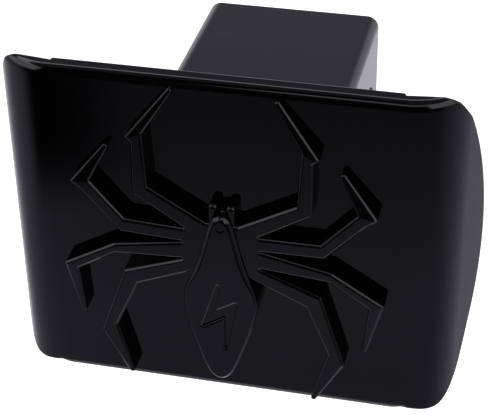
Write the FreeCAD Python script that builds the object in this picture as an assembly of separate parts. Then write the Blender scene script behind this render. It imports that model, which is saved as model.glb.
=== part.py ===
import FreeCAD, Part
import math
import os

os.makedirs("parts", exist_ok=True)

# Hitch receiver cover: a bent face plate on a square tube that slides into a 2 inch
# receiver, with a cast spider badge bolted to the front. All sizes are millimetres.
#
# Frame: the origin is the middle of the cross pin hole, on the axis of the tube.
# +X runs along the pin hole, to the right of someone looking at the face plate.
# +Y points into the receiver, towards the car, and +Z is up.

# Tube
tube_side = 50.8
tube_wall = 2.5
tube_corner_radius = 3.5
pin_to_face = 74.0
pin_to_tube_end = 14.9
pin_hole_diameter = 17.5

# Face plate: flat in the middle, sides bent back, a short lip along top and bottom, and
# the four corners clipped straight. plate_rise is how far its middle is above the tube's.
plate_thickness = 1.5
plate_height = 94.6
plate_rise = 0.75
flat_width = 89.4
side_bend_radius = 16.9
side_bend_angle = 68.5
side_depth = 21.3
side_edge_radius = 83.0
lip_bend_radius = 2.5
lip_depth = 6.6
lip_notch = 1.1
clip_start = 10.0
clip_turn = 12.8
clip_rise = 40.5

# Badge: badge_reach runs from the tips of the front legs to those of the rear legs, and
# the drawn outline is brought to it. Heights are measured from the front of the plate.
badge_reach = 89.4
leg_height = 4.3
leg_bevel = 0.35
leg_tip_width = 1.2
front_tip_height = 1.8
second_tip_height = 2.5
third_tip_height = 3.5
rear_tip_height = 4.05
body_height = 5.6
body_edge_radius = 1.2
mark_depth = 0.8
badge_turn = -1.06
badge_offset = 0.19

# Head: the front of the body behind a curved groove, two feelers and a ball between them
groove_width = 1.0
groove_depth = 0.6
groove_bend_radius = 3.6
groove_to_nose = 4.6
feeler_radius = 1.3
feeler_spacing = 4.7
feeler_length = 5.4
feeler_height = 3.9
feeler_edge_radius = 1.0
feeler_lead = 2.4
ball_radius = 0.9
ball_height = 2.6

# Fixing: studs cast on the back of the badge, with a washer and a nut on each
stud_diameter = 3.0
stud_hole_clearance = 0.4
stud_end = 1.5
washer_to_weld = 1.1
washer_diameter = 7.0
washer_thickness = 0.5
washer_clearance = 0.2
nut_across_flats = 5.5
nut_thickness = 2.4
nut_chamfer = 0.3

# Welds between the tube and the back of the plate
weld_leg = 3.0
weld_length = 40.0
upper_weld_length = 28.0

# Worked out from the sizes above
face_y = -pin_to_face
back_y = face_y + plate_thickness
tube_end_y = pin_to_tube_end
half_side = tube_side / 2
half_height = plate_height / 2
half_flat = flat_width / 2
X = FreeCAD.Vector(1, 0, 0)
Y = FreeCAD.Vector(0, 1, 0)
Z = FreeCAD.Vector(0, 0, 1)
ORIGIN = FreeCAD.Vector(0, 0, 0)


def save(shape, node):
    """Write one sub-part of the cover to its own file."""
    shape.exportStep("parts/" + node + ".step")


def flat_face(points):
    """A flat face with straight sides through the given points."""
    return Part.Face(Part.makePolygon(list(points) + [points[0]]))


def rounded_square(half, radius, y):
    """A square face across the tube, with its corners rounded."""
    block = Part.makeBox(2 * half, 1, 2 * half, FreeCAD.Vector(-half, y, -half))
    corners = [e for e in block.Edges if abs(abs(e.CenterOfMass.x) - half) < 1e-6
               and abs(abs(e.CenterOfMass.z) - half) < 1e-6]
    rounded = block.makeFillet(radius, corners)
    return min(rounded.Faces, key=lambda f: f.CenterOfMass.y)


# Face plate. The plan outline is the section seen from above: the flat front, the two
# bends and the straight ends of the sides, moved inwards by inset for the inner skin.
def plan_outline(inset, rear_y, half_z):
    angle = math.radians(side_bend_angle)
    radius = side_bend_radius - inset
    centre_y = face_y + side_bend_radius

    def on_bend(turn):
        return half_flat + radius * math.sin(turn), centre_y - radius * math.cos(turn)

    bend_end_x, bend_end_y = on_bend(angle)
    straight = (rear_y - bend_end_y) / math.tan(angle)

    def point(x, y, side=1):
        return FreeCAD.Vector(side * x, y, -half_z)

    edges = [Part.makeLine(point(half_flat, face_y + inset, -1), point(half_flat, face_y + inset))]
    for side in (1, -1):
        start = point(half_flat, face_y + inset, side)
        middle = point(*on_bend(angle / 2), side)
        end = point(bend_end_x, bend_end_y, side)
        edges.append(Part.Arc(start, middle, end).toShape())
        edges.append(Part.makeLine(end, point(bend_end_x + straight, rear_y, side)))
    edges.append(Part.makeLine(point(bend_end_x + straight, rear_y, -1),
                               point(bend_end_x + straight, rear_y)))
    face = Part.Face(Part.Wire(Part.__sortEdges__(edges)))
    return face.extrude(Z * (2 * half_z))


def skin_block(inset, rear_y):
    """The plate's outer or inner skin as a closed block, its front edges rounded."""
    half_z = half_height - inset
    block = plan_outline(inset, rear_y, half_z)
    front = [e for e in block.Edges
             if abs(e.BoundBox.ZLength) < 1e-6 and e.CenterOfMass.y < rear_y - 1e-3]
    return block.makeFillet(lip_bend_radius - inset, front)


def side_view_outline():
    """The plate seen from its side: the rear edge is one long arc."""
    arc_y = face_y + side_depth - side_edge_radius
    corner_y = arc_y + math.sqrt(side_edge_radius ** 2 - half_height ** 2)
    front_y = face_y - plate_thickness
    reach = 2 * flat_width

    def at(y, z):
        return FreeCAD.Vector(-reach, y, z)

    edges = [
        Part.makeLine(at(front_y, -half_height), at(front_y, half_height)),
        Part.makeLine(at(front_y, half_height), at(corner_y, half_height)),
        Part.Arc(at(corner_y, half_height), at(face_y + side_depth, 0),
                 at(corner_y, -half_height)).toShape(),
        Part.makeLine(at(corner_y, -half_height), at(front_y, -half_height)),
    ]
    return Part.Face(Part.Wire(edges)).extrude(X * (2 * reach))


def lip_cut():
    """What the blank leaves away behind the top lip. The lip's rear edge steps forward at
    each end of the flat front and comes back to its full depth at the bent sides."""
    inner_radius = side_bend_radius - plate_thickness
    end_angle = math.acos((side_bend_radius - lip_depth) / inner_radius)
    end = half_flat + inner_radius * math.sin(end_angle)
    plan = [(end, lip_depth + side_depth), (end, lip_depth), (half_flat, lip_depth - lip_notch),
            (half_flat, lip_depth)]
    plan += [(-x, depth) for x, depth in reversed(plan)]
    low = half_height - lip_bend_radius
    outline = [FreeCAD.Vector(x, face_y + depth, low) for x, depth in plan]
    return flat_face(outline).extrude(Z * (2 * lip_bend_radius))


def corner_clip():
    """The straight clip at the upper right corner, from the end of the lip to the arc."""
    turn = math.radians(clip_turn)
    rise = math.radians(clip_rise)
    outward = FreeCAD.Vector(math.cos(rise) * math.sin(turn), math.cos(rise) * math.cos(turn),
                             math.sin(rise))
    across = outward.cross(Z).normalize() * side_depth
    down = outward.cross(across).normalize() * side_depth
    start = FreeCAD.Vector(half_flat + clip_start, face_y + lip_depth, half_height)
    square = [start + across + down, start - across + down, start - across - down,
              start + across - down]
    return flat_face(square).extrude(outward * side_depth)


def make_face_plate(stud_places):
    rear_y = face_y + side_depth + plate_thickness
    outer = skin_block(0, rear_y)
    inner = skin_block(plate_thickness, rear_y + plate_thickness)
    plate = outer.cut(inner).common(side_view_outline())
    upper = [lip_cut(), corner_clip(), corner_clip().mirror(ORIGIN, X)]
    for cut in upper:
        plate = plate.cut(cut).cut(cut.mirror(ORIGIN, Z))
    plate.translate(Z * plate_rise)
    hole_radius = (stud_diameter + stud_hole_clearance) / 2
    for place in stud_places:
        start = FreeCAD.Vector(place.x, face_y - plate_thickness, place.z)
        plate = plate.cut(Part.makeCylinder(hole_radius, 3 * plate_thickness, start, Y))
    return plate.removeSplitter()


# Tube, open at the rear, with one hole for the cross pin through both side walls
def make_tube():
    outer = rounded_square(half_side, tube_corner_radius, back_y)
    inner = rounded_square(half_side - tube_wall, tube_corner_radius - tube_wall, back_y)
    length = tube_end_y - back_y
    tube = outer.extrude(Y * length).cut(inner.extrude(Y * length))
    hole = Part.makeCylinder(pin_hole_diameter / 2, 2 * tube_side, FreeCAD.Vector(-tube_side, 0, 0), X)
    return tube.cut(hole)


# Welds: a three-cornered bead in the angle between each tube wall and the plate
def weld_bead(length, turn):
    section = flat_face([
        FreeCAD.Vector(-length / 2, back_y, half_side),
        FreeCAD.Vector(-length / 2, back_y + weld_leg, half_side),
        FreeCAD.Vector(-length / 2, back_y, half_side + weld_leg),
    ])
    bead = section.extrude(X * length)
    bead.rotate(ORIGIN, Y, turn)
    return bead


def make_welds():
    beads = [weld_bead(upper_weld_length, 0)]
    for turn in (90, 180, 270):
        beads.append(weld_bead(weld_length, turn))
    return Part.makeCompound(beads)


# Badge. It is drawn lying flat, face up: x to the right, y up the plate and z out of it.
# upright() then stands it on the front of the plate, turned by badge_turn as it is fixed.
def upright(shape):
    shape.rotate(ORIGIN, Z, badge_turn)
    shape.rotate(ORIGIN, X, 90)
    shape.translate(FreeCAD.Vector(badge_offset, face_y, 0))
    return shape


# Its outline is drawn from here on as (x, y) points of the right half, and flat() brings
# a drawn point to its real place.
front_tip = (13.20, 46.75)
rear_tip = (25.10, -42.66)
outline_scale = badge_reach / (front_tip[1] - rear_tip[1])


def flat(point, z=0.0, side=1):
    return FreeCAD.Vector(side * point[0] * outline_scale, point[1] * outline_scale, z)


def mitre(before, corner, after, inset_before, inset_after):
    """Where two neighbouring sides of an outline meet after each moves inwards."""
    first = (corner - before).normalize()
    second = (after - corner).normalize()
    a = FreeCAD.Vector(first.y, -first.x, 0)
    b = FreeCAD.Vector(second.y, -second.x, 0)
    turn = a.x * b.y - a.y * b.x
    if abs(turn) < 1e-9:
        return corner + a * inset_before
    across = (inset_before * b.y - inset_after * a.y) / turn
    along = (a.x * inset_after - b.x * inset_before) / turn
    return corner + FreeCAD.Vector(across, along, 0)


class Leg:
    """One leg: its corners on the way out, the tip, and the corners on the way back."""

    def __init__(self, out, tip, back, tip_height):
        self.out = [flat(p) for p in out]
        self.tip = flat(tip)
        self.back = [flat(p) for p in back]
        self.tip_height = tip_height

    def blunt_end(self):
        """The two corners of the leg's blunt end, as wide apart as the tip is wide."""
        middle = (self.out[-1] + self.back[0]) * 0.5
        along = (self.tip - middle).normalize()
        across = FreeCAD.Vector(-along.y, along.x, 0) * (leg_tip_width / 2)
        if (self.out[-1] - middle).dot(across) < 0:
            across = -across
        return [self.tip + across, self.tip - across]

    def hook_height(self, point, knee, spur):
        """The top of the hook falls evenly from the knee and its spur to the tip."""
        across = (spur - knee).normalize()

        def distance(p):
            reach = p - knee
            return (reach - across * reach.dot(across)).Length

        fall = leg_height - self.tip_height
        return leg_height - fall * distance(point) / distance(self.tip)


crotch_front = (9.60, 7.72)
crotch_middle = (9.42, 3.55)
crotch_rear = (9.72, -1.78)
leg_root_front = (4.36, 10.33)
leg_root_rear = (7.65, -5.36)

right_legs = [
    Leg(out=[(19.20, 18.81), (20.18, 34.36)],
        tip=front_tip,
        back=[(24.73, 32.88), (23.19, 31.63), (23.33, 16.46), crotch_front],
        tip_height=front_tip_height),
    Leg(out=[(25.58, 8.16), (34.59, 18.45)],
        tip=(30.18, 28.88),
        back=[(39.89, 17.63), (37.10, 15.64), (26.87, 4.14), crotch_middle],
        tip_height=second_tip_height),
    Leg(out=[(28.81, -0.10), (42.70, -8.37)],
        tip=(38.15, -24.16),
        back=[(38.77, -9.68), (28.50, -3.00), crotch_rear],
        tip_height=third_tip_height),
    Leg(out=[(26.37, -8.21), (33.26, -29.39)],
        tip=rear_tip,
        back=[(28.76, -26.57), (22.47, -11.91), leg_root_rear],
        tip_height=rear_tip_height),
]


def make_legs():
    """The legs with a narrow bevel round their top, as half a badge and its mirror image."""
    corners = [flat((0, leg_root_front[1])), flat(leg_root_front)]
    hooks = {}
    for leg in right_legs:
        corners += leg.out
        hooks[len(corners)] = leg
        corners += leg.blunt_end() + leg.back
    corners.append(flat((0, leg_root_rear[1])))
    count = len(corners)
    insets = [leg_bevel] * (count - 1) + [0.0]
    inner = [mitre(corners[i - 1], corners[i], corners[(i + 1) % count], insets[i - 1], insets[i])
             for i in range(count)]
    heights = [leg_height] * count
    inner_heights = [leg_height] * count
    for first, leg in hooks.items():
        for i in (first, first + 1):
            heights[i] = leg.hook_height(corners[i], inner[first - 1], inner[first + 2])
            inner_heights[i] = leg.hook_height(inner[i], inner[first - 1], inner[first + 2])
    low = [c + Z * (h - leg_bevel) for c, h in zip(corners, heights)]
    high = [c + Z * h for c, h in zip(inner, inner_heights)]

    faces = [flat_face(corners)]
    for i in range(count):
        j = (i + 1) % count
        faces.append(flat_face([corners[i], corners[j], low[j], low[i]]))
        faces.append(flat_face([low[i], low[j], high[j]]))
        faces.append(flat_face([low[i], high[j], high[i]]))
    for first in hooks:
        faces.append(flat_face(high[first - 1:first + 3]))
    tips = [i for first in hooks for i in (first, first + 1)]
    faces.append(flat_face([high[i] for i in range(count) if i not in tips]))
    half = Part.Solid(Part.Shell(faces))
    if half.Volume < 0:
        half.reverse()
    return half.fuse(half.mirror(ORIGIN, X)).removeSplitter()


nose = (0.0, 13.5)
nose_side = (2.3, 12.2)
tail = (0.0, -38.9)
body_side = [nose_side, (3.6, 9.0), (4.6, 5.0), (7.5, -5.0), (9.8, -12.0), (9.0, -19.0),
             (6.4, -28.0), (3.2, -36.5)]
mark = [(0.11, -4.52), (-5.06, -22.35), (1.14, -18.03), (1.31, -31.38), (4.46, -12.54),
        (-1.31, -16.32)]


def make_body():
    """Thorax and abdomen: one raised pad with a rounded edge, which covers the leg roots.
    A zigzag mark is sunk in the abdomen, and a groove sets off the head."""
    right = [flat(p) for p in body_side]
    left = [flat(p, 0, -1) for p in reversed(body_side)]
    side_curve = Part.BSplineCurve()
    side_curve.interpolate(right + [flat(tail)] + left)
    front = Part.Arc(left[-1], flat(nose), right[0])
    outline = Part.Face(Part.Wire([side_curve.toShape(), front.toShape()]))
    pad = outline.extrude(Z * body_height)
    rim = [e for e in pad.Edges if e.BoundBox.ZMin > body_height - 1e-3]
    pad = pad.makeFillet(body_edge_radius, rim)
    recess = flat_face([flat(p, body_height - mark_depth) for p in mark])
    pad = pad.cut(recess.extrude(Z * body_height))
    floor = flat(nose, body_height - groove_depth) + Y * (groove_bend_radius - groove_to_nose)
    groove = Part.makeCylinder(groove_bend_radius + groove_width / 2, body_height, floor, Z)
    return pad.cut(groove.cut(Part.makeCylinder(groove_bend_radius - groove_width / 2,
                                                body_height, floor, Z)))


def make_feeler(side):
    """A short arm with a round end, its top edge rounded over."""
    middle_x = side * feeler_spacing / 2
    front_y = flat(nose).y + feeler_lead
    centre_y = front_y - feeler_radius

    def at(x, y):
        return FreeCAD.Vector(middle_x + x, y, 0)

    back_left = at(-feeler_radius, front_y - feeler_length)
    back_right = at(feeler_radius, front_y - feeler_length)
    left = at(-feeler_radius, centre_y)
    right = at(feeler_radius, centre_y)
    outline = [
        Part.makeLine(back_left, back_right),
        Part.makeLine(back_right, right),
        Part.Arc(right, at(0, front_y), left).toShape(),
        Part.makeLine(left, back_left),
    ]
    arm = Part.Face(Part.Wire(outline)).extrude(Z * feeler_height)
    rim = [e for e in arm.Edges if e.BoundBox.ZMin > feeler_height - 1e-3]
    return arm.makeFillet(feeler_edge_radius, rim)


def make_head():
    """The two feelers at the front of the body and the ball between them."""
    ball_middle = flat(nose, ball_height) + Y * (ball_radius / 2)
    ball = Part.makeSphere(ball_radius, ball_middle)
    stalk = Part.makeCylinder(ball_radius, ball_height, FreeCAD.Vector(0, ball_middle.y, 0), Z)
    return make_feeler(1).fuse(make_feeler(-1)).fuse(stalk).fuse(ball)


def stud_spots():
    """One stud under the knee of each front leg, and one under the abdomen, whose washer
    clears the weld below the tube."""
    front_leg = right_legs[0]
    knee = (front_leg.out[-1] + front_leg.back[1]) * 0.5
    other_knee = FreeCAD.Vector(-knee.x, knee.y, 0)
    drop = half_side + weld_leg + washer_to_weld + washer_diameter / 2
    return [knee, other_knee, FreeCAD.Vector(0, -drop, 0)]


stud_length = plate_thickness + washer_thickness + nut_thickness + stud_end


def make_badge():
    badge = make_legs().fuse(make_body()).fuse(make_head())
    for spot in stud_spots():
        badge = badge.fuse(Part.makeCylinder(stud_diameter / 2, stud_length, spot, -Z))
    return upright(badge.removeSplitter())


def stud_place(spot):
    """Where a stud passes through the plate."""
    return upright(Part.Vertex(spot)).Point


# Washers and nuts, one of each behind the plate on every stud
def make_washer(place):
    start = FreeCAD.Vector(place.x, back_y, place.z)
    disc = Part.makeCylinder(washer_diameter / 2, washer_thickness, start, Y)
    bore = (stud_diameter + washer_clearance) / 2
    return disc.cut(Part.makeCylinder(bore, washer_thickness, start, Y))


def make_nut(place):
    seat_y = back_y + washer_thickness
    start = FreeCAD.Vector(place.x, seat_y, place.z)
    corner_radius = nut_across_flats / 2 / math.cos(math.pi / 6)
    corners = []
    for k in range(6):
        turn = math.radians(60 * k)
        offset = FreeCAD.Vector(corner_radius * math.cos(turn), 0, corner_radius * math.sin(turn))
        corners.append(start + offset)
    hexagon = flat_face(corners).extrude(Y * nut_thickness)
    turned = Part.makeCylinder(corner_radius, nut_thickness - nut_chamfer, start, Y)
    cone_start = start + Y * (nut_thickness - nut_chamfer)
    turned = turned.fuse(Part.makeCone(corner_radius, corner_radius - nut_chamfer, nut_chamfer,
                                       cone_start, Y))
    nut = hexagon.common(turned)
    return nut.cut(Part.makeCylinder(stud_diameter / 2, nut_thickness, start, Y))


stud_places = [stud_place(spot) for spot in stud_spots()]
save(make_face_plate(stud_places), "face_plate")
save(make_tube(), "receiver_tube")
save(make_welds(), "weld_beads")
save(make_badge(), "spider_badge")
save(Part.makeCompound([make_washer(p) for p in stud_places]), "washers")
save(Part.makeCompound([make_nut(p) for p in stud_places]), "nuts")
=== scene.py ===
import bmesh
import bpy
import math
from mathutils import Matrix, Vector
from mathutils.geometry import delaunay_2d_cdt


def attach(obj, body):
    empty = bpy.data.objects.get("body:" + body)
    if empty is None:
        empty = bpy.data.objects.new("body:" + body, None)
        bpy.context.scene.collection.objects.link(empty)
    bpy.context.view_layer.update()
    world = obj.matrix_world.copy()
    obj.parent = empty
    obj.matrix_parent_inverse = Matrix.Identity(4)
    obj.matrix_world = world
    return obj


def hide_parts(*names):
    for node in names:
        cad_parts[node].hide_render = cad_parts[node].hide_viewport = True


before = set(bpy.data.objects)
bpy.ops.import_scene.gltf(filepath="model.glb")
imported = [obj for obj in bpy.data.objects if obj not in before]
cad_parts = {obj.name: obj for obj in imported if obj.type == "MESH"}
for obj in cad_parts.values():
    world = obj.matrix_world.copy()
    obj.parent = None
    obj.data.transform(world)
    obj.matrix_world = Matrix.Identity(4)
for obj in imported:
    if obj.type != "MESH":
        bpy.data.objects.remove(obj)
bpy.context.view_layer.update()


# Face plate. One pressed steel sheet: flat in the middle, both sides bent back, a short lip
# turned back along the top and bottom. Its cut edge is rounded. It is sprayed gloss black
# together with the tube that is welded to its back.
sheet_thickness = 0.0015
cut_edge_radius = 0.0007
cut_edge_steps = 4
plate_front = -0.074
flat_half_width = 0.0447
flat_half_height = 0.04525
side_bend_radius = 0.0169
side_bend_angle = math.radians(68.5)
lip_bend_radius = 0.0025
lip_depth = 0.0055
lip_notch = 0.001
lip_notch_width = 0.0003
side_depth = 0.0213
side_arc_radius = 0.083
clip_start = 0.01
lower_lip_fade = (0.0435, 0.050)
lower_corner = [(0.0450, 0.0491), (0.0462, 0.0473), (0.0475, 0.0467), (0.0490, 0.0468),
                (0.0510, 0.0473), (0.0534, 0.0480), (0.0556, 0.0484), (0.0578, 0.0485),
                (0.0594, 0.0481), (0.0607, 0.0474), (0.0618, 0.0465), (0.0629, 0.0454),
                (0.0641, 0.0440), (0.0652, 0.0425)]
lower_side_reach = 0.0017
lower_side_fade = (0.025, 0.045)
lower_corner_start = 0.041
clip_turn = math.radians(12.8)
clip_rise = math.radians(40.5)
plate_rise = 0.00105
half_height = flat_half_height + lip_bend_radius
# The stud holes lie plate_rise above the studs. The washers hide them behind, and in front the
# badge does, but for a sliver of their rounded edges beside the two front legs.
stud_hole_drawn = 0.0019
hole_patch = 1.2
stud_places = [(0.02249, 0.03293), (-0.02089, 0.03341), (-0.00042, -0.03300)]


def corner_shaded_mesh(name, points, faces, normals):
    """A mesh whose faces carry their own corner normals, so flats stay flat and rounds round."""
    mesh = bpy.data.meshes.new(name)
    mesh.from_pydata(points, [], faces)
    mesh.polygons.foreach_set("use_smooth", [True] * len(mesh.polygons))
    mesh.update()
    mesh.normals_split_custom_set([tuple(n) for face in normals for n in face])
    piece = bpy.data.objects.new(name, mesh)
    bpy.context.scene.collection.objects.link(piece)
    return piece


def even(start, end, count):
    """Values from start to end in count equal steps."""
    return [start + (end - start) * k / count for k in range(count + 1)]


def eased(value, start, end):
    """From 0 to 1 as a value goes from start to end, soft at both ends."""
    share = min(max((value - start) / (end - start), 0), 1)
    return share * share * (3 - 2 * share)


def cut_sheet(outline, across, along, holes):
    """A flat outline divided at the values across and along it, with round holes given as
    middle, radius and steps in an eighth; returns points and faces."""
    work = bmesh.new()
    work.faces.new([work.verts.new((u, v, 0)) for u, v in outline])
    for cu, cv, radius, count in holes:
        offsets = [radius * hole_patch * math.tan(turn)
                   for turn in even(-math.pi / 4, math.pi / 4, 2 * count)]
        across = across + [cu + offset for offset in offsets]
        along = along + [cv + offset for offset in offsets]
    for lines, direction in ((across, (1, 0, 0)), (along, (0, 1, 0))):
        for value in sorted(set(round(x, 9) for x in lines)):
            bmesh.ops.bisect_plane(work, geom=work.verts[:] + work.edges[:] + work.faces[:],
                                   dist=1e-8, plane_co=[value * d for d in direction],
                                   plane_no=direction)
    for cu, cv, radius, _ in holes:

        def in_patch(place, spare):
            """Whether a point lies in the square patch that is cut out round the hole."""
            return max(abs(place.x - cu), abs(place.y - cv)) < radius * hole_patch + spare

        inside = [f for f in work.faces if in_patch(f.calc_center_median(), -1e-7)]
        bmesh.ops.delete(work, geom=inside, context="FACES")
        rim = [e for e in work.edges
               if e.is_boundary and all(in_patch(v.co, radius / 100) for v in e.verts)]
        inner = {}
        for edge in rim:
            for v in edge.verts:
                if v not in inner:
                    reach = Vector((v.co.x - cu, v.co.y - cv)).normalized() * radius
                    inner[v] = work.verts.new((cu + reach.x, cv + reach.y, 0))
        for edge in rim:
            a, b = edge.verts
            if edge.link_loops[0].vert is a:
                a, b = b, a
            work.faces.new([a, b, inner[b], inner[a]])
    loose = [v for v in work.verts if not v.link_faces]
    bmesh.ops.delete(work, geom=loose, context="VERTS")
    work.verts.index_update()
    points = [(v.co.x, v.co.y) for v in work.verts]
    faces = [[v.index for v in f.verts] for f in work.faces]
    if sum(f.normal.z * f.calc_area() for f in work.faces) < 0:
        faces = [face[::-1] for face in faces]
    work.free()
    return points, faces


def thick_sheet(name, flat_points, faces, place, thickness, edge_radius):
    """Lays a flat drawing on a surface and gives it a thickness and rounded edges all round.
    place(u, v) returns the point on the outer skin and the direction out of it."""
    outer, out_of, index, seen = [], [], [], {}
    for u, v in flat_points:
        point, normal = place(u, v)
        key = tuple(round(c * 1e7) for c in point)
        if key not in seen:
            seen[key] = len(outer)
            outer.append(Vector(point))
            out_of.append(Vector(normal))
        index.append(seen[key])
    skin = []
    for face in faces:
        ring = [index[i] for i in face]
        ring = [r for i, r in enumerate(ring) if r != ring[i - 1]]
        if len(ring) > 2:
            skin.append(ring)
    corner = [outer[i] for i in skin[0][:3]]
    if (corner[1] - corner[0]).cross(corner[2] - corner[1]).dot(out_of[skin[0][0]]) < 0:
        skin = [f[::-1] for f in skin]
    half_edges = {(f[i - 1], f[i]) for f in skin for i in range(len(f))}
    rim = [(a, b) for a, b in half_edges if (b, a) not in half_edges]
    beyond = {}
    for a, b in rim:
        step = outer[b] - outer[a]
        for i in (a, b):
            beyond[i] = beyond.get(i, Vector((0, 0, 0))) + step.cross(out_of[i]).normalized()
    count = len(outer)
    points = outer + [p - n * thickness for p, n in zip(outer, out_of)]
    normals = out_of + [-n for n in out_of]
    all_faces = skin + [[i + count for i in reversed(f)] for f in skin]
    rings = {}
    turns = even(0, math.pi / 2, cut_edge_steps)[1:]
    for i, away in beyond.items():
        away = away.normalized()
        ring = [i]
        for way, each in ((1, turns), (-1, turns[::-1])):
            for turn in each:
                lift = edge_radius * (1 - math.cos(turn))
                drop = lift if way > 0 else thickness - lift
                points.append(outer[i] - out_of[i] * drop + away * edge_radius * math.sin(turn))
                up = out_of[i] * math.cos(turn) * way
                normals.append((up + away * math.sin(turn)).normalized())
                ring.append(len(points) - 1)
        ring.append(i + count)
        rings[i] = ring
    for a, b in sorted(rim):
        for k in range(len(rings[a]) - 1):
            all_faces.append([rings[b][k], rings[a][k], rings[a][k + 1], rings[b][k + 1]])
    return corner_shaded_mesh(name, points, all_faces,
                              [[normals[i] for i in face] for face in all_faces])


def on_face_plate(s, w):
    """s runs round the plate's plan from the middle, w up its front and round the lip. The
    lower lip flattens out towards the corners."""
    side = -1 if s < 0 else 1
    turn = min(max((abs(s) - flat_half_width) / side_bend_radius, 0), side_bend_angle)
    past = max(abs(s) - flat_half_width - side_bend_radius * side_bend_angle, 0)
    x = min(abs(s), flat_half_width) + side_bend_radius * math.sin(turn) + past * math.cos(turn)
    y = plate_front + side_bend_radius * (1 - math.cos(turn)) + past * math.sin(turn)
    up = -1 if w < 0 else 1
    full_turn = math.pi / 2
    if up < 0:
        full_turn *= 1 - eased(abs(s), *lower_lip_fade)
    lip_turn = min(max((abs(w) - flat_half_height) / lip_bend_radius, 0), full_turn)
    past_lip = max(abs(w) - flat_half_height - lip_bend_radius * full_turn, 0)
    z = (min(abs(w), flat_half_height) + lip_bend_radius * math.sin(lip_turn)
         + past_lip * math.cos(full_turn))
    inward = lip_bend_radius * (1 - math.cos(lip_turn)) + past_lip * math.sin(full_turn)
    inner = Vector((-side * math.sin(turn), math.cos(turn), 0))
    point = Vector((side * x, y, up * z + plate_rise)) + inner * inward
    return point, -inner * math.cos(lip_turn) + Vector((0, 0, up)) * math.sin(lip_turn)


def plate_quarter(up):
    """One quarter of the sheet's outline, from the middle of a lip to the side. The upper
    corners are clipped; the lower ones are rounded."""

    inner_radius = side_bend_radius - sheet_thickness
    lip_end_turn = math.acos((side_bend_radius - lip_depth) / inner_radius)
    lip_root = flat_half_height + lip_bend_radius * (math.pi / 2 - 1)

    def lip_edge(turn):
        """How far up the sheet its lip goes, at a turn of the side bend."""
        part = side_bend_radius * math.sin(turn) / (inner_radius * math.sin(lip_end_turn))
        depth = lip_depth - lip_notch * (1 - part)
        return lip_root + (depth - side_bend_radius * (1 - math.cos(turn))) / math.cos(turn)

    def clipped(s, w):
        """How far a point of the sheet lies beyond the clip at the corner."""
        start = Vector((flat_half_width + clip_start, plate_front + lip_depth,
                        half_height + plate_rise))
        outward = Vector((math.cos(clip_rise) * math.sin(clip_turn),
                          math.cos(clip_rise) * math.cos(clip_turn), math.sin(clip_rise)))
        return (on_face_plate(s, w)[0] - start).dot(outward)

    def side_edge(start, end, count):
        """The arched edge of the side, between two heights on its front."""
        edge = []
        for w in even(start, end, count):
            low, high = flat_half_width, flat_half_width + 2 * side_depth
            while high - low > 1e-12:
                middle = (low + high) / 2
                point = on_face_plate(middle, up * w)[0]
                z = abs(point.z - plate_rise)
                arc = (plate_front + side_depth - side_arc_radius
                       + math.sqrt(side_arc_radius ** 2 - z ** 2))
                if up < 0:
                    arc += lower_side_reach * eased(z, *lower_side_fade)
                if point.y > arc or (up > 0 and clipped(middle, w) > 0):
                    high = middle
                else:
                    low = middle
            edge.append((low, w))
        return edge

    if up < 0:
        return [(0, lip_root + lip_depth), (lower_lip_fade[0], lip_root + lip_depth),
                *lower_corner, *side_edge(lower_corner_start, 0, 20)]
    points = [(0, lip_root + lip_depth), (flat_half_width, lip_root + lip_depth),
              (flat_half_width + lip_notch_width, lip_edge(0))]
    for degrees in even(1.5, 60, 39):
        turn = math.radians(degrees)
        s, w = flat_half_width + side_bend_radius * turn, lip_edge(turn)
        if clipped(s, w) > 0:
            break
        points.append((s, w))
    top = points[-1][1]
    below_clip = 0.8 * top
    return points + side_edge(top, below_clip, 24)[1:] + side_edge(below_clip, 0, 20)[1:]


def drawn_in(outline, distance):
    """The same closed outline, each point moved inwards by distance."""
    sharpest_lean = 0.5
    moved = []
    for i, point in enumerate(outline):
        before = Vector(outline[i - 1])
        after = Vector(outline[(i + 1) % len(outline)])
        here = Vector(point)
        a, b = (here - before).normalized(), (after - here).normalized()
        bisector = Vector((-(a.y + b.y), a.x + b.x)).normalized()
        lean = max(bisector.dot(Vector((-a.y, a.x))), sharpest_lean)
        moved.append(tuple(here + bisector * distance / lean))
    return moved


right_half = plate_quarter(1) + [(s, -w) for s, w in reversed(plate_quarter(-1)[:-1])]
plate_outline = [(-s, w) for s, w in right_half[1:]] + right_half[-2::-1]
bend_end = flat_half_width + side_bend_radius * side_bend_angle
beyond_side = 0.078
across = even(-flat_half_width, flat_half_width, 8) + even(bend_end, beyond_side, 5)
across += even(-beyond_side, -bend_end, 5)
along = even(-flat_half_height, flat_half_height, 8)
lip_end = flat_half_height + lip_bend_radius * math.pi / 2
for way in (-1, 1):
    across += [way * s for s in even(flat_half_width, bend_end, 28) + even(*lower_lip_fade, 13)]
    along += [way * w for w in even(flat_half_height, lip_end, 10)]
plate_points, plate_faces = cut_sheet(
    drawn_in(plate_outline, cut_edge_radius), across, along,
    [(x, z, stud_hole_drawn, 4) for x, z in stud_places])
face_plate = thick_sheet("face_plate_sheet", plate_points, plate_faces, on_face_plate,
                         sheet_thickness, cut_edge_radius)


def node_group(name, kind, inputs, outputs):
    """A node group with named inputs, which bring their values, and named outputs; returns
    it with what comes in and what goes out."""
    group = bpy.data.node_groups.new(name, kind)
    for title, socket_kind, value in inputs:
        socket = group.interface.new_socket(title, in_out="INPUT", socket_type=socket_kind)
        if value is not None:
            socket.default_value = value
    for title, socket_kind in outputs:
        group.interface.new_socket(title, in_out="OUTPUT", socket_type=socket_kind)
    given = group.nodes.new("NodeGroupInput")
    return group, given.outputs, group.nodes.new("NodeGroupOutput").inputs


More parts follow.
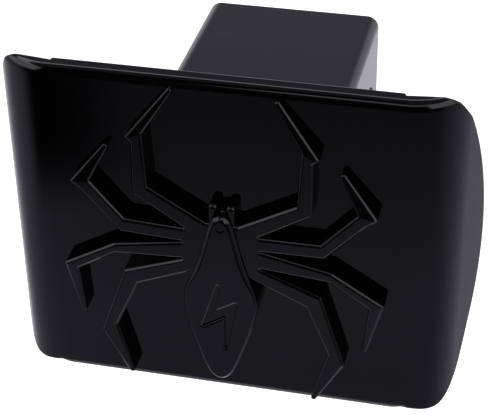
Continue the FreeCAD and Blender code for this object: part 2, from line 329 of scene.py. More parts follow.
def add(tree, kind, inputs, **settings):
    """Adds a node, whose inputs are given values or other nodes' outputs; returns its
    outputs."""
    node = tree.nodes.new(kind)
    for name, value in settings.items():
        setattr(node, name, value)
    for name, value in inputs.items():
        if isinstance(value, bpy.types.NodeSocket):
            tree.links.new(value, node.inputs[name])
        else:
            node.inputs[name].default_value = value
    return node.outputs


def worked_out(tree, operation, *values):
    """The result of one sum in a node tree."""
    return add(tree, "ShaderNodeMath", dict(enumerate(values)), operation=operation)[0]


# Sprayed paint: faint ripple, fine dust in the gloss, and a slight change of depth.
sprayed_gloss, given, out = node_group(
    "sprayed_gloss", "ShaderNodeTree",
    [("Colour", "NodeSocketColor", (0.005, 0.005, 0.007, 1)),
     ("Roughness", "NodeSocketFloat", 0.03), ("Ripple Size", "NodeSocketFloat", 300.0),
     ("Dust", "NodeSocketFloat", 0.03)],
    [("Colour", "NodeSocketColor"), ("Roughness", "NodeSocketFloat"),
     ("Height", "NodeSocketFloat")])
place = add(sprayed_gloss, "ShaderNodeTexCoord", {})["Object"]
ripple = add(sprayed_gloss, "ShaderNodeTexNoise", {
    "Vector": place, "Scale": given["Ripple Size"], "Detail": 1.5})
cloud = add(sprayed_gloss, "ShaderNodeTexNoise", {"Vector": place, "Scale": 22.0, "Detail": 4.0})
tone = add(sprayed_gloss, "ShaderNodeMapRange", {
    "Value": cloud["Fac"], "To Min": 0.8, "To Max": 1.2})
colour = add(sprayed_gloss, "ShaderNodeVectorMath", {
    0: given["Colour"], "Scale": tone["Result"]}, operation="SCALE")
specks = add(sprayed_gloss, "ShaderNodeTexNoise", {
    "Vector": place, "Scale": 900.0, "Detail": 2.0})
dust = add(sprayed_gloss, "ShaderNodeMapRange", {
    "Value": specks["Fac"], "From Min": 0.62, "From Max": 0.8, "To Max": given["Dust"]})
rough = worked_out(sprayed_gloss, "ADD", given["Roughness"], dust["Result"])
sprayed_gloss.links.new(colour["Vector"], out["Colour"])
sprayed_gloss.links.new(rough, out["Roughness"])
sprayed_gloss.links.new(ripple["Fac"], out["Height"])


def coated(name, colour, roughness, ripple_size, ripple_height, dust, metallic=0.0):
    """A glossy coat with its own ripple and dust."""
    coat = bpy.data.materials.new(name)
    coat.use_nodes = True
    tree = coat.node_tree
    effect = add(tree, "ShaderNodeGroup", {
        "Colour": (*colour, 1), "Roughness": roughness, "Ripple Size": ripple_size,
        "Dust": dust}, node_tree=sprayed_gloss)
    bump = add(tree, "ShaderNodeBump", {
        "Strength": 1.0, "Distance": ripple_height, "Height": effect["Height"]})
    shader = tree.nodes["Principled BSDF"].inputs
    shader["IOR"].default_value = 1.5
    shader["Metallic"].default_value = metallic
    tree.links.new(effect["Colour"], shader["Base Color"])
    tree.links.new(effect["Roughness"], shader["Roughness"])
    tree.links.new(bump["Normal"], shader["Normal"])
    return coat


plate_paint = coated("plate_gloss_black", (0.0012, 0.0012, 0.0016), roughness=0.03,
                     ripple_size=260.0, ripple_height=0.000002, dust=0.02)
face_plate.data.materials.append(plate_paint)
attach(face_plate, "root")
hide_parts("face_plate")


# Receiver tube. Square steel tube, sawn to length, with the pin hole drilled through both
# side walls, welded to the back of the plate and painted with it.
tube_half = 0.0254
tube_wall = 0.0025
tube_corner = 0.0035
plate_back = plate_front + sheet_thickness
tube_end = 0.0149
pin_hole_radius = 0.00875
sawn_edge_radius = 0.0004
wall_run = 2 * (tube_half - tube_corner)
corner_run = tube_corner * math.pi / 2
side_run = wall_run + corner_run


def on_tube(u, v):
    """u runs round the tube from the lower end of its right wall, v along it."""
    sides_passed = math.floor(u / side_run + 1e-9)
    along_side = u - sides_passed * side_run
    straight = min(along_side, wall_run)
    turn = max(along_side - wall_run, 0) / tube_corner
    corner = tube_half - tube_corner
    x = corner + tube_corner * math.cos(turn)
    z = -corner + straight + tube_corner * math.sin(turn)
    spin = Matrix.Rotation(sides_passed % 4 * math.pi / 2, 2)
    place = spin @ Vector((x, z))
    out = spin @ Vector((math.cos(turn), math.sin(turn)))
    return Vector((place.x, v, place.y)), Vector((out.x, 0, out.y))


# The front end and its rounding run 0.38 mm into the plate, where the welds hide it.
tube_start, tube_stop = plate_back + 0.00002, tube_end - sawn_edge_radius
tube_outline = [(0, tube_stop), (0, tube_start), (4 * side_run, tube_start),
                (4 * side_run, tube_stop)]
across = []
for side in range(4):
    across += even(side * side_run, side * side_run + wall_run, 4)
    across += even(side * side_run + wall_run, (side + 1) * side_run, 10)
tube_points, tube_faces = cut_sheet(
    tube_outline, across, even(tube_start, tube_stop, 6),
    [(wall_run / 2 + walls * side_run, 0, pin_hole_radius + sawn_edge_radius, 8)
     for walls in (0, 2)])
receiver_tube = thick_sheet("receiver_tube_wall", tube_points, tube_faces, on_tube,
                            tube_wall, sawn_edge_radius)
tube_paint = coated("tube_gloss_black", (0.023, 0.0225, 0.0265), roughness=0.22,
                    ripple_size=180.0, ripple_height=0.000004, dust=0.08)
receiver_tube.data.materials.append(tube_paint)
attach(receiver_tube, "root")
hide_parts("receiver_tube")


# Spider badge. Cast in one piece with its three studs: eight legs with rounded edges whose
# hooks thin towards their tips, a raised body with a zigzag mark sunk in it, and a head with
# two feelers. Polished and sprayed gloss black, held by the studs. Drawn in millimetres.
badge_turn = math.radians(-1.06)
badge_offset = 0.19
leg_height = 4.3
leg_edge = [(0, 0.57, 0), (0.02, 0.51, 25), (0.06, 0.46, 46), (0.4, 0.16, 51), (0.52, 0.075, 62),
            (0.66, 0.02, 78), (0.8, 0, 90)]
tip_edge_share = 0.5
outer_corner_round = 0.5
inner_corner_round = 0.12
leg_tip_width = 1.2
largest_corner_share = 0.48
corner_step = math.radians(36)
leg_roots = [(4.36, 10.33), (9.60, 7.72), (9.42, 3.55), (9.72, -1.78), (7.65, -5.36)]
# Each leg: its upper corners out to the knee, its tip, its lower corners back from the spur
# of the knee, and the height of its tip.
leg_ways = [
    ([(19.20, 18.81), (20.18, 34.36)], (13.20, 46.75),
     [(24.73, 32.88), (23.19, 31.63), (23.33, 16.46)], 1.8),
    ([(25.58, 8.16), (34.59, 18.45)], (30.18, 28.88),
     [(39.89, 17.63), (37.10, 15.64), (26.87, 4.14)], 2.5),
    ([(28.81, -0.10), (42.70, -8.37)], (38.15, -24.16), [(38.77, -9.68), (28.50, -3.00)], 3.5),
    ([(26.37, -8.21), (33.26, -29.39)], (25.10, -42.66), [(28.76, -26.57), (22.47, -11.91)], 4.05)]


def upright(point, as_direction=False):
    """A point drawn on the badge lying face up, stood in its real place on the plate."""
    x, y, z = point
    c, s = math.cos(badge_turn), math.sin(badge_turn)
    turned = Vector((x * c - y * s, -z, x * s + y * c))
    if as_direction:
        return turned
    return (turned + Vector((badge_offset, 0, 0))) / 1000 + Vector((0, plate_front, 0))


def drawn_place(centre, way, bend, corner, mitre):
    """Where a point of a rounded corner goes when its outline is drawn in."""

    def place(inset):
        if inset / bend >= 1:
            return corner - mitre * inset
        return centre + way * (bend - inset)

    return place


def rounded(corners, radius, inner_radius):
    """A closed outline with its corners rounded, anticlockwise: of each point a function that
    draws it in by a distance, the way out of it and the hook it is on."""
    area = sum(a[0] * b[1] - b[0] * a[1] for a, b in zip(corners, corners[1:] + corners[:1]))
    corners = corners if area > 0 else corners[::-1]
    line = []
    for i, corner in enumerate(corners):
        here = Vector(corner[:2])
        into = here - Vector(corners[i - 1][:2])
        onward = Vector(corners[(i + 1) % len(corners)][:2]) - here
        room = min(into.length, onward.length) * largest_corner_share
        a, b = into.normalized(), onward.normalized()
        turn = math.atan2(a.x * b.y - a.y * b.x, a.dot(b))
        half = math.tan(abs(turn) / 2)
        reach = min((radius if turn > 0 else inner_radius) * half, room)
        bend = reach / half if turn > 0 else -reach / half
        out, next_out = Vector((a.y, -a.x)), Vector((b.y, -b.x))
        mitre = (out + next_out) / (1 + out.dot(next_out))
        centre = here - a * reach - out * bend
        steps = 2 * max(1, math.ceil(abs(turn) / corner_step))
        for k in range(steps + 1):
            way = Matrix.Rotation(turn * k / steps, 2) @ out
            line.append((drawn_place(centre, way, bend, here, mitre), way,
                         corner[2] if len(corner) > 2 else None))
    return line


def filled(ring, holes, lines):
    """Three-cornered faces that fill a flat outline round its holes and keep to its lines,
    as numbers of its points, then of the holes' points."""
    points, edges = [], []
    for loop in (ring, *holes):
        start = len(points)
        points += [Vector((p[0], p[1])) for p in loop]
        edges += [(start + i, start + (i + 1) % len(loop)) for i in range(len(loop))]
    verts, _, faces, origin, _, _ = delaunay_2d_cdt(points, edges + list(lines), [], 1, 1e-6)
    inside = []
    for face in faces:
        ids = [origin[i][0] for i in face]
        middle = sum((verts[i] for i in face), Vector((0, 0))) / 3
        if all(not holds(hole, middle) for hole in holes) and holds(ring, middle):
            inside.append(ids)
    return inside


def holds(ring, point):
    """Whether a closed outline goes round a point."""
    within = False
    for i, here in enumerate(ring):
        before = ring[i - 1]
        if (here[1] > point[1]) != (before[1] > point[1]):
            cross = (before[0] - here[0]) * (point[1] - here[1]) / (before[1] - here[1]) + here[0]
            within ^= point[0] < cross
    return within


class Casting:
    """Gathers the badge's faces; every face brings its points and their normals."""

    def __init__(self):
        self.points, self.faces, self.normals, self.known = [], [], [], {}

    def number(self, point):
        """The number of a point; the same place always has the same one."""
        key = tuple(round(c * 1e4) for c in point)
        if key not in self.known:
            self.known[key] = len(self.points)
            self.points.append(upright(point))
        return self.known[key]

    def face(self, corners, normals):
        """Adds a face, leaving out corners that have run together."""
        ids = [self.number(c) for c in corners]
        kept = [i for i in range(len(ids)) if ids[i] != ids[i - 1]]
        if len(kept) > 2 and len(set(ids)) == len(kept):
            self.faces.append([ids[i] for i in kept])
            self.normals.append([upright(normals[i], True).normalized() for i in kept])

    def band(self, low, high):
        """Joins two rings of (point, normal) that run anticlockwise seen from above."""
        for i in range(len(low)):
            j = (i + 1) % len(low)
            corners = [low[i], low[j], high[j], high[i]]
            self.face([c[0] for c in corners], [c[1] for c in corners])

    def flat(self, ring, up, holes=(), lines=()):
        """Fills a flat outline with faces that look up or down."""
        points = [p for loop in (ring, *holes) for p in loop]
        for face in filled(ring, holes, lines):
            self.face([points[i] for i in face[::up]], [(0, 0, up)] * 3)


badge = Casting()
hooks = []
right_side = [leg_roots[0]]
for number, (out, tip, back, tip_height) in enumerate(leg_ways):
    middle = (Vector(out[-1]) + Vector(back[0])) / 2
    along = (Vector(tip) - middle).normalized()
    across = Vector((-along.y, along.x)) * leg_tip_width / 2
    if (Vector(out[-1]) - middle).dot(across) < 0:
        across = -across
    ends = [tuple(Vector(tip) + across), tuple(Vector(tip) - across)]
    hooks.append((Vector(out[-1]), Vector(back[0]), Vector(tip), tip_height))
    right_side += [*out[:-1], (*out[-1], number), (*ends[0], number), (*ends[1], number),
                   (*back[0], number), *back[1:], leg_roots[number + 1]]
left_side = [(-p[0], p[1], *(hook + len(leg_ways) for hook in p[2:])) for p in right_side]
hooks += [(Vector((-k.x, k.y)), Vector((-s.x, s.y)), Vector((-t.x, t.y)), h)
          for k, s, t, h in hooks]
leg_line = rounded(right_side + left_side[::-1], outer_corner_round, inner_corner_round)


def fall(point, hook):
    """How far past the knee a point of a hook is, the slope there and the way it falls."""
    knee, spur, tip, tip_height = hooks[hook]
    across = (spur - knee).normalized()
    way = Vector((-across.y, across.x))
    if (tip - knee).dot(way) < 0:
        way = -way
    slope = (leg_height - tip_height) / (tip - knee).dot(way)
    return (Vector(point[:2]) - knee).dot(way), slope, way


def tilted(way, tilt, up=Vector((0, 0, 1))):
    """A direction out along the plate, tilted up."""
    return Vector((way.x, way.y, 0)) * math.cos(tilt) + up * math.sin(tilt)


def leg_ring(inset, lift, tilt):
    """A ring round the legs: drawn in by inset, lift below the top, or on the plate where
    lift is None, its normal tilted up."""
    ring = []
    for draw, way, hook in leg_line:
        share, top, up = 1.0, leg_height, Vector((0, 0, 1))
        if hook is not None:
            tip = hooks[hook][2]
            past, slope, down = fall(draw(0), hook)
            share -= (1 - tip_edge_share) * min(max(past / fall(tip, hook)[0], 0), 1)
        place = draw(inset * share)
        if hook is not None:
            past = fall(place, hook)[0]
            if past > 0:
                top -= past * slope
                up = Vector((down.x * slope, down.y * slope, 1)).normalized()
        z = 0.0 if lift is None else top - lift * share
        ring.append(((place.x, place.y, z), tilted(way, tilt, up)))
    return ring


def walled(make_ring, edge):
    """Wall from the plate up and over its edge on to the top; returns the top ring. The edge
    is given as steps of (inset, drop, tilt of its normal in degrees)."""
    rings = [make_ring(0, None, 0)]
    rings += [make_ring(inset, drop, math.radians(tilt)) for inset, drop, tilt in edge]
    for low, high in zip(rings, rings[1:]):
        badge.band(low, high)
    badge.flat([p for p, _ in rings[0]], -1)
    return [p for p, _ in rings[-1]]


leg_top = walled(leg_ring, leg_edge)


def nearest(numbers, corner):
    """The point of the legs' top that lies nearest to a corner of a hook."""
    return min(numbers, key=lambda i: (Vector(leg_top[i][:2]) - corner).length)


# The top folds along a line across each knee to its spur, where the hook starts to fall.
knee_reach = 2
knee_lines = []
for knee, spur, _, _ in hooks:
    all_round = range(len(leg_top))
    near_knee = [i for i in all_round if (Vector(leg_top[i][:2]) - knee).length < knee_reach]
    knee_lines.append((nearest(near_knee, spur), nearest(all_round, spur)))
for face in filled(leg_top, (), knee_lines):
    places = [Vector(leg_top[i]) for i in face]
    flat_up = (places[1] - places[0]).cross(places[2] - places[0]).normalized()
    badge.face(places, [flat_up] * 3)

# The badge's body: a smooth outline, an edge that is broad at the head and narrow round the
# abdomen, and a flat top with the mark and a groove sunk in it.
body_height = 5.6
body_edge = [(0, 1.0, 0), (0.05, 0.88, 20), (0.13, 0.78, 38), (0.75, 0.23, 49), (1.0, 0.1, 60),
             (1.25, 0.02, 75), (1.42, 0, 90)]
abdomen_edge_share = 0.45
abdomen_start = -4
abdomen_run = 5
nose = (0.0, 13.5)
tail = (0.0, -38.9)
body_side = [(2.3, 12.2), (3.6, 9.0), (4.6, 5.0), (6.05, -0.6), (7.5, -5.0), (9.8, -12.0),
             (9.0, -19.0), (6.4, -28.0), (3.2, -36.5)]
mark = [(0.11, -4.52), (-5.06, -22.35), (1.14, -18.03), (1.31, -31.38), (4.46, -12.54),
        (-1.31, -16.32)]
mark_depth = 0.8
mark_edge = [(0.55, 0, 90), (0.46, 0.01, 80), (0.36, 0.04, 72), (0.12, 0.15, 60), (0.03, 0.25, 35),
             (0, 0.35, 10)]
groove_depth = 0.6
groove_edge = [(0.12, 0, 90), (0.04, 0.04, 45), (0, 0.12, 0)]
body_corners = [tail, *reversed(body_side), nose, *((-x, y) for x, y in body_side)]


def smooth_line(corners, steps):
    """A smooth closed line through the corners, each point with the way out of it."""
    count, line = len(corners), []
    for i in range(count):
        p = [Vector(corners[(i + k) % count]) for k in (-1, 0, 1, 2)]
        first = p[2] - p[0]
        second = p[0] * 2 - p[1] * 5 + p[2] * 4 - p[3]
        third = p[1] * 3 - p[0] - p[2] * 3 + p[3]
        for k in range(steps):
            t = k / steps
            place = (p[1] * 2 + first * t + second * t ** 2 + third * t ** 3) / 2
            along = (first + second * 2 * t + third * 3 * t ** 2).normalized()
            line.append((place, Vector((along.y, -along.x))))
    return line


body_line = smooth_line(body_corners, steps=8)


def body_ring(inset, lift, tilt):
    """A ring round the body; the edge is narrower round the abdomen."""
    ring = []
    for point, way in body_line:
        past = min(max((abdomen_start - point.y) / abdomen_run, 0), 1)
        share = 1 - (1 - abdomen_edge_share) * past
        place = point - way * inset * share
        z = 0.0 if lift is None else body_height - lift * share
        ring.append(((place.x, place.y, z), tilted(way, tilt)))
    return ring


def sunk(outline, depth, corner, edge):
    """Sinks an outline into the body's top; its edge is steps of (way out, drop, tilt)."""
    line = rounded(outline, corner, corner)
    rings = []
    for away, drop, tilt in [*edge, (0, depth, 0)]:
        rings.append([((*draw(-away), body_height - drop), tilted(-way, math.radians(tilt)))
                      for draw, way, _ in line])
    for high, low in zip(rings, rings[1:]):
        badge.band(low[::-1], high[::-1])
    badge.flat([p for p, _ in rings[-1]], 1)
    return [p for p, _ in rings[0]]


groove = [(-1.5, 9.7), (-0.9, 9.1), (-0.2, 8.8), (0.6, 8.95), (1.35, 9.6), (1.2, 10.0),
          (0.5, 9.55), (-0.1, 9.4), (-0.7, 9.65), (-1.2, 10.1)]
body_rim = walled(body_ring, body_edge)
badge.flat(body_rim, 1, [sunk(mark, mark_depth, corner=0.3, edge=mark_edge),
                         sunk(groove, groove_depth, corner=0.2, edge=groove_edge)])


def knob(outline, radius, height, roll):
    """A low boss with a rounded top, on the plate."""
    line = rounded(outline, radius, radius)

    def ring(inset, lift, tilt):
        return [((*draw(inset), 0.0 if lift is None else height - lift), tilted(way, tilt))
                for draw, way, _ in line]

    turns = even(0, math.pi / 2, 7)
    edge = [(roll * (1 - math.cos(t)), roll * (1 - math.sin(t)), math.degrees(t)) for t in turns]
    badge.flat(walled(ring, edge), 1)


# The head: two feelers and a small ball between them.
for side in (-1, 1):
    outline = [(side * 1.05, 9.0), (side * 3.65, 9.0), (side * 3.65, 15.9), (side * 1.05, 15.9)]
    knob(outline, radius=1.28, height=3.9, roll=1.2)
ball_outline = [(-0.6, 12.0), (1.2, 12.0), (1.2, 14.3), (-0.6, 14.3)]
knob(ball_outline, radius=0.88, height=3.4, roll=0.85)

# The badge's studs: plain where they pass the plate, threaded behind it.
stud_radius = 1.5
stud_start = 0.5
stud_end = -5.9
stud_tip = 0.3
thread_start = -1.6
thread_pitch = 0.5
thread_depth = 0.2
stud_sides = 28


def stud_ring(x, y, radius, z, slope):
    """A ring round a stud, its normal leaning down the stud by slope."""
    ring = []
    for k in range(stud_sides):
        turn = 2 * math.pi * k / stud_sides
        way = Vector((math.cos(turn), math.sin(turn)))
        ring.append(((x + way.x * radius, y + way.y * radius, z),
                     Vector((way.x, way.y, -slope)).normalized()))
    return ring


for place_x, place_z in stud_places:
    x, y = place_x * 1000 - badge_offset, place_z * 1000
    c, s = math.cos(badge_turn), math.sin(badge_turn)
    x, y = x * c + y * s, -x * s + y * c
    steps = [(stud_radius, stud_start), (stud_radius, thread_start)]
    while steps[-1][1] - thread_pitch > stud_end + stud_tip:
        level = steps[-1][1]
        steps += [(stud_radius - thread_depth, level - thread_pitch / 2),
                  (stud_radius, level - thread_pitch)]
    steps += [(stud_radius - stud_tip, stud_end)]
    for (r1, z1), (r2, z2) in zip(steps, steps[1:]):
        slope = (r1 - r2) / (z1 - z2)
        badge.band(stud_ring(x, y, r2, z2, slope), stud_ring(x, y, r1, z1, slope))
    for (radius, level), up in ((steps[-1], -1), (steps[0], 1)):
        cap = [p for p, _ in stud_ring(x, y, radius, level, 0)]
        badge.face(cap[::up], [(0, 0, up)] * stud_sides)
badge_piece = corner_shaded_mesh("spider_badge_casting", badge.points, badge.faces, badge.normals)
badge_paint = coated("badge_gloss_black", (0.002, 0.002, 0.0026), roughness=0.04,
                     ripple_size=260.0, ripple_height=0.000002, dust=0.03)
badge_piece.data.materials.append(badge_paint)
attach(badge_piece, "root")
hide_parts("spider_badge")


# Weld beads. Four fillet welds join the tube to the back of the plate, laid by hand in small
# overlapping ripples and painted over; the one on top is shorter.
weld_middle = 0.0009
weld_paint = coated("black_weld", (0.006, 0.006, 0.0075), roughness=0.16,
                    ripple_size=900.0, ripple_height=0.00003, dust=0.15)
weld_inputs = [
    ("Ripples", "NodeSocketInt", 32), ("Top Ripples", "NodeSocketInt", 22),
    ("Spacing", "NodeSocketFloat", 0.0012),
    ("Ripple Size", "NodeSocketVector", (0.001, 0.0012, 0.0021)),
    ("Unevenness", "NodeSocketFloat", 0.12), ("Seed", "NodeSocketInt", 7),
    ("Material", "NodeSocketMaterial", weld_paint)]


def grown_piece(name, source, tree, values, sharp):
    """Runs a node tree on a mesh and keeps its result as a plain mesh, with an edge wherever
    its faces turn by more than sharp degrees."""
    holder = bpy.data.objects.new(name + "_source", source)
    bpy.context.scene.collection.objects.link(holder)
    grow = holder.modifiers.new("grow", "NODES")
    grow.node_group = tree
    for socket in tree.interface.items_tree:
        if socket.name in values:
            grow[socket.identifier] = values[socket.name]
    holder.update_tag()
    bpy.context.view_layer.update()
    looked = holder.evaluated_get(bpy.context.evaluated_depsgraph_get())
    mesh = bpy.data.meshes.new_from_object(looked)
    mesh.name = name
    holder.modifiers.remove(grow)
    bpy.data.objects.remove(holder)
    mesh.polygons.foreach_set("use_smooth", [True] * len(mesh.polygons))
    mesh.set_sharp_from_angle(angle=math.radians(sharp))
    piece = bpy.data.objects.new(name, mesh)
    bpy.context.scene.collection.objects.link(piece)
    return piece


def finished(tree, pieces, given, out):
    """Makes the instances real, coats them and hands them out as the tree's mesh."""
    real = add(tree, "GeometryNodeRealizeInstances", {"Geometry": pieces})
    coat = add(tree, "GeometryNodeSetMaterial", {
        "Geometry": real["Geometry"], "Material": given["Material"]})
    tree.links.new(coat["Geometry"], out["Mesh"])


weld_rows, given, out = node_group(
    "weld_rows", "GeometryNodeTree", [("Path", "NodeSocketGeometry", None), *weld_inputs],
    [("Mesh", "NodeSocketGeometry")])
ball = add(weld_rows, "GeometryNodeMeshUVSphere", {"Segments": 18, "Rings": 12, "Radius": 1.0})
flat = add(weld_rows, "GeometryNodeTransform", {
    "Geometry": ball["Mesh"], "Scale": given["Ripple Size"]})
lean = add(weld_rows, "GeometryNodeTransform", {
    "Geometry": flat["Geometry"], "Rotation": (math.radians(45), 0, 0)})
shade = add(weld_rows, "GeometryNodeSetShadeSmooth", {"Geometry": lean["Geometry"]})
least = worked_out(weld_rows, "SUBTRACT", 1.0, given["Unevenness"])
rows = weld_rows.nodes.new("GeometryNodeJoinGeometry")
for turn in range(4):
    count = given["Top Ripples" if turn == 0 else "Ripples"]
    length = worked_out(weld_rows, "MULTIPLY", count, given["Spacing"])
    start = add(weld_rows, "ShaderNodeCombineXYZ", {
        "X": worked_out(weld_rows, "MULTIPLY", length, -0.5),
        "Y": plate_back + weld_middle, "Z": tube_half + weld_middle})
    step = add(weld_rows, "ShaderNodeCombineXYZ", {"X": given["Spacing"]})
    line = add(weld_rows, "GeometryNodeMeshLine", {
        "Count": count, "Start Location": start["Vector"], "Offset": step["Vector"]})
    seed = worked_out(weld_rows, "ADD", given["Seed"], float(turn))
    size = add(weld_rows, "FunctionNodeRandomValue", {2: least, 3: 1.0, "Seed": seed})
    beads = add(weld_rows, "GeometryNodeInstanceOnPoints", {
        "Points": line["Mesh"], "Instance": shade["Geometry"], "Scale": size[1]})
    round_tube = add(weld_rows, "GeometryNodeTransform", {
        "Geometry": beads["Instances"], "Rotation": (0, math.pi / 2 * turn, 0)})
    weld_rows.links.new(round_tube["Geometry"], rows.inputs["Geometry"])
finished(weld_rows, rows.outputs["Geometry"], given, out)
weld_beads = grown_piece("weld_ripples", bpy.data.meshes.new("weld_path"), weld_rows,
                         {title: value for title, _, value in weld_inputs}, sharp=80)
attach(weld_beads, "root")
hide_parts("weld_beads")


# Washers. One flat steel washer under each nut, stamped from sheet and zinc plated; the nut
# presses it on the back of the plate.
washer_radius = 0.0035
washer_bore = 0.0016
washer_height = 0.0005
washer_edge = 0.00008


def turned(name, loop, count):
    """A closed ring round the y axis; loop(turn) gives its section there, outwards first."""
    sections = [loop(2 * math.pi * k / count) for k in range(count)]
    points = [(r * math.cos(2 * math.pi * k / count), y, r * math.sin(2 * math.pi * k / count))
              for k, section in enumerate(sections) for r, y in section]
    many = len(sections[0])
    faces = []
    for k in range(count):
        for i in range(many):
            j, n = (i + 1) % many, (k + 1) % count
            faces.append([k * many + i, n * many + i, n * many + j, k * many + j])
    mesh = bpy.data.meshes.new(name)
    mesh.from_pydata(points, [], faces)
    return bpy.data.objects.new(name, mesh)


fixings, given, out = node_group("fixings_on_studs", "GeometryNodeTree", [
    ("Places", "NodeSocketGeometry", None), ("Piece", "NodeSocketObject", None),
    ("Largest Turn", "NodeSocketFloat", 1.0), ("Seed", "NodeSocketInt", 3),
    ("Material", "NodeSocketMaterial", None)], [("Mesh", "NodeSocketGeometry")])
piece = add(fixings, "GeometryNodeObjectInfo", {"Object": given["Piece"]})
turn = add(fixings, "FunctionNodeRandomValue", {3: given["Largest Turn"], "Seed": given["Seed"]})
round_stud = add(fixings, "ShaderNodeCombineXYZ", {"Y": turn[1]})
put = add(fixings, "GeometryNodeInstanceOnPoints", {
    "Points": given["Places"], "Instance": piece["Geometry"], "Rotation": round_stud["Vector"]})
finished(fixings, put["Instances"], given, out)


def on_studs(name, piece, seat, largest_turn, seed, coat):
    """One piece on each stud behind the plate, with its near side at seat."""
    places = bpy.data.meshes.new(name + "_places")
    places.from_pydata([(x, seat, z) for x, z in stud_places], [], [])
    made = grown_piece(name, places, fixings, {
        "Piece": piece, "Largest Turn": largest_turn, "Seed": seed, "Material": coat}, sharp=30)
    bpy.data.objects.remove(piece)
    return made


def washer_section(turn):
    """The washer's section, the same all round, its edges slightly broken."""
    rim, bore, top, edge = washer_radius, washer_bore, washer_height, washer_edge
    return [(rim - edge, 0), (rim, edge), (rim, top - edge), (rim - edge, top),
            (bore + edge, top), (bore, top - edge), (bore, edge), (bore + edge, 0)]


zinc = coated("zinc_steel", (0.5, 0.5, 0.52), roughness=0.3, ripple_size=500.0,
              ripple_height=0.00002, dust=0.1, metallic=1.0)
washers = on_studs("washer_rings", turned("washer", washer_section, count=48), plate_back,
                   largest_turn=0.5, seed=5, coat=zinc)
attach(washers, "root")
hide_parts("washers")


# Nuts. A hexagon nut on each stud, pressed from steel, its corners turned down at both ends
# and zinc plated like the washers.
nut_flats = 0.0055
nut_height = 0.0024
nut_bore = 0.00135
nut_bore_edge = 0.0003
nut_face_share = 0.94


def nut_section(turn):
    """The nut's section at a turn; it reaches furthest at the corners."""
    flat_turn = (turn + math.pi / 6) % (math.pi / 3) - math.pi / 6
    flats = nut_flats / 2
    rim = flats / math.cos(flat_turn)
    face = flats * nut_face_share
    slope = (rim - face) * math.tan(math.radians(30))
    return [(face, 0), (rim, slope), (rim, nut_height - slope), (face, nut_height),
            (nut_bore + nut_bore_edge, nut_height), (nut_bore, nut_height - nut_bore_edge),
            (nut_bore, nut_bore_edge), (nut_bore + nut_bore_edge, 0)]


nuts = on_studs("nut_hexagons", turned("nut", nut_section, count=72),
                plate_back + washer_height, largest_turn=0.9, seed=11, coat=zinc)
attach(nuts, "root")
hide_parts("nuts")


# Floor and light. A plain white floor that keeps the object's shadow and shows white, and a
# studio as a sky: a pale floor and walls, a dark ceiling and strips of light above.
floor_half = 6
floor_height = -0.3
floor_mesh = bpy.data.meshes.new("floor")
floor_mesh.from_pydata([(x * floor_half, y * floor_half, floor_height)
                        for x, y in ((-1, -1), (1, -1), (1, 1), (-1, 1))], [], [(0, 1, 2, 3)])
floor = bpy.data.objects.new("floor", floor_mesh)
bpy.context.scene.collection.objects.link(floor)
floor.visible_glossy = False
white = bpy.data.materials.new("white_floor")
white.use_nodes = True
tree = white.node_tree
shader = tree.nodes["Principled BSDF"]
shader.inputs["Base Color"].default_value = (0.8, 0.8, 0.8, 1)
shader.inputs["Roughness"].default_value = 0.9
path = add(tree, "ShaderNodeLightPath", {})
dark = add(tree, "ShaderNodeEmission", {"Strength": 0.0})
glow = add(tree, "ShaderNodeEmission", {"Strength": 0.9})
shown = add(tree, "ShaderNodeMixShader", {0: path["Is Camera Ray"], 1: dark[0], 2: glow[0]})
both = add(tree, "ShaderNodeAddShader", {0: shader.outputs[0], 1: shown[0]})
tree.links.new(both[0], tree.nodes["Material Output"].inputs["Surface"])
floor_mesh.materials.append(white)

world = bpy.data.worlds.new("studio")
bpy.context.scene.world = world
world.use_nodes = True
sky = world.node_tree
direction = add(sky, "ShaderNodeTexCoord", {})["Generated"]
parts = add(sky, "ShaderNodeSeparateXYZ", {0: direction})


def studio_ramp(angle, stops):
    """Brightness along an angle in radians; the stops give it in degrees. Dim light is a
    little bluer."""
    first, last = stops[0][0], stops[-1][0]
    share = add(sky, "ShaderNodeMapRange", {
        "Value": angle, "From Min": math.radians(first), "From Max": math.radians(last)})
    ramp = sky.nodes.new("ShaderNodeValToRGB")
    sky.links.new(share["Result"], ramp.inputs["Fac"])
    marks = ramp.color_ramp.elements
    while len(marks) < len(stops):
        marks.new(0.5)
    for mark, (degrees, value) in zip(marks, stops):
        mark.position = (degrees - first) / (last - first)
        mark.color = (value, value * 0.97, value * (1.2 if value < 0.3 else 1.05), 1)
    return ramp.outputs["Color"]


def grown(angle, start, end):
    """From 0 to 1 as an angle grows, both given in degrees."""
    return add(sky, "ShaderNodeMapRange", {
        "Value": angle, "From Min": math.radians(start), "From Max": math.radians(end)},
        interpolation_type="SMOOTHSTEP")["Result"]


def blended(share, first, second):
    """The first light where share is 0, the second where it is 1."""
    return add(sky, "ShaderNodeMix", {"Factor": share, 6: first, 7: second},
               data_type="RGBA")[2]


height = worked_out(sky, "ARCSINE", parts["Z"])
compass = worked_out(sky, "ARCTAN2", parts["X"], worked_out(sky, "MULTIPLY", parts["Y"], -1.0))
round_left = worked_out(sky, "MULTIPLY", compass, -1.0)
off_front = worked_out(sky, "ABSOLUTE", compass)

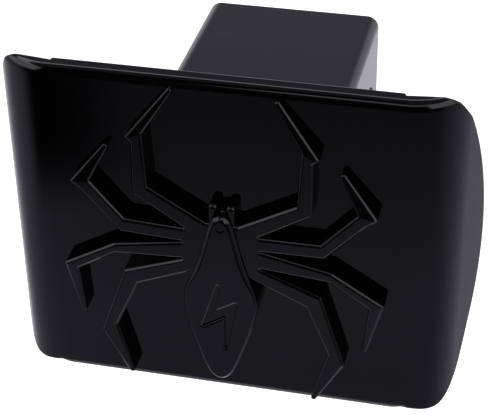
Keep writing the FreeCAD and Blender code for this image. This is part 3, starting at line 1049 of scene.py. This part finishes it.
# In front stand a floor and a wall that darkens upwards, with a strip of light overhead; to
# the left is a corner where the wall's last light is missing. Further round, sides is the
# room near the floor and high the room above, and there is a soft box on both sides.
front = studio_ramp(height, [(-90, 0.5), (-60, 0.5), (-53, 0.4), (-47, 0.16), (-43, 0.115),
                             (-40, 0.108), (-37, 0.122), (-35.4, 0.1), (-33.6, 0.075),
                             (-32.2, 0.06), (-30.7, 0.05), (-29, 0.045), (-15, 0.01), (5, 0.0),
                             (46, 0.02), (48, 0.5), (59, 0.5), (61, 0.04), (90, 0.07)])
dark_corner = studio_ramp(height, [(-90, 0.5), (-60, 0.5), (-53, 0.4), (-47, 0.16), (-43, 0.12),
                                   (-40, 0.125), (-37.3, 0.137), (-35.5, 0.127), (-33.6, 0.108),
                                   (-32.15, 0.023), (-31.2, 0.002), (90, 0.002)])
sides = studio_ramp(compass, [(-180, 0.5), (-136, 0.45), (-128, 0.34), (-119, 0.25), (-111, 0.21),
                              (-103, 0.16), (-91, 0.14), (-63, 0.125), (-40, 0.1), (50, 0.09),
                              (59, 0.095), (71, 0.11), (83, 0.13), (95, 0.165), (108, 0.2),
                              (120, 0.225), (133, 0.23), (145, 0.28), (166, 0.5), (180, 0.5)])
high = studio_ramp(height, [(-90, 0.5), (14, 0.4), (20, 0.1), (30, 0.07), (41, 0.07), (44, 0.9),
                            (54, 0.9), (57, 0.06), (90, 0.06)])
light = blended(grown(round_left, 17.5, 22), front, dark_corner)
around = blended(grown(height, 0, 18), sides, high)
light = blended(grown(off_front, 45, 75), light, around)
side_box = worked_out(sky, "MULTIPLY", grown(off_front, 33, 42), grown(off_front, 112, 100))
side_box = worked_out(sky, "MULTIPLY", side_box, grown(height, 10, 18))
side_box = worked_out(sky, "MULTIPLY", side_box, grown(height, 54, 46))
light = blended(side_box, light, studio_ramp(height, [(-90, 0.6), (90, 0.6)]))
studio = sky.nodes["Background"]
studio.inputs["Strength"].default_value = 2.0
sky.links.new(light, studio.inputs["Color"])
seen_white = add(sky, "ShaderNodeBackground", {"Color": (1, 1, 1, 1)})
path = add(sky, "ShaderNodeLightPath", {})
choose = add(sky, "ShaderNodeMixShader", {
    0: path["Is Camera Ray"], 1: studio.outputs[0], 2: seen_white[0]})
sky.links.new(choose[0], sky.nodes["World Output"].inputs["Surface"])
bpy.context.scene.view_settings.view_transform = "Standard"


# Camera. It stands where the photograph was taken from: in front, a little to the right,
# looking down.
lens_data = bpy.data.cameras.new("camera")
lens_data.lens = 115.466
lens_data.sensor_width = 36.0
lens_data.shift_x = 0.00302
lens_data.clip_start = 0.01
camera = bpy.data.objects.new("camera", lens_data)
camera.location = (0.083983, -0.393575, 0.234829)
camera.rotation_euler = (math.radians(56.11304), math.radians(0.879), math.radians(13.27238))
bpy.context.scene.collection.objects.link(camera)
bpy.context.scene.camera = camera
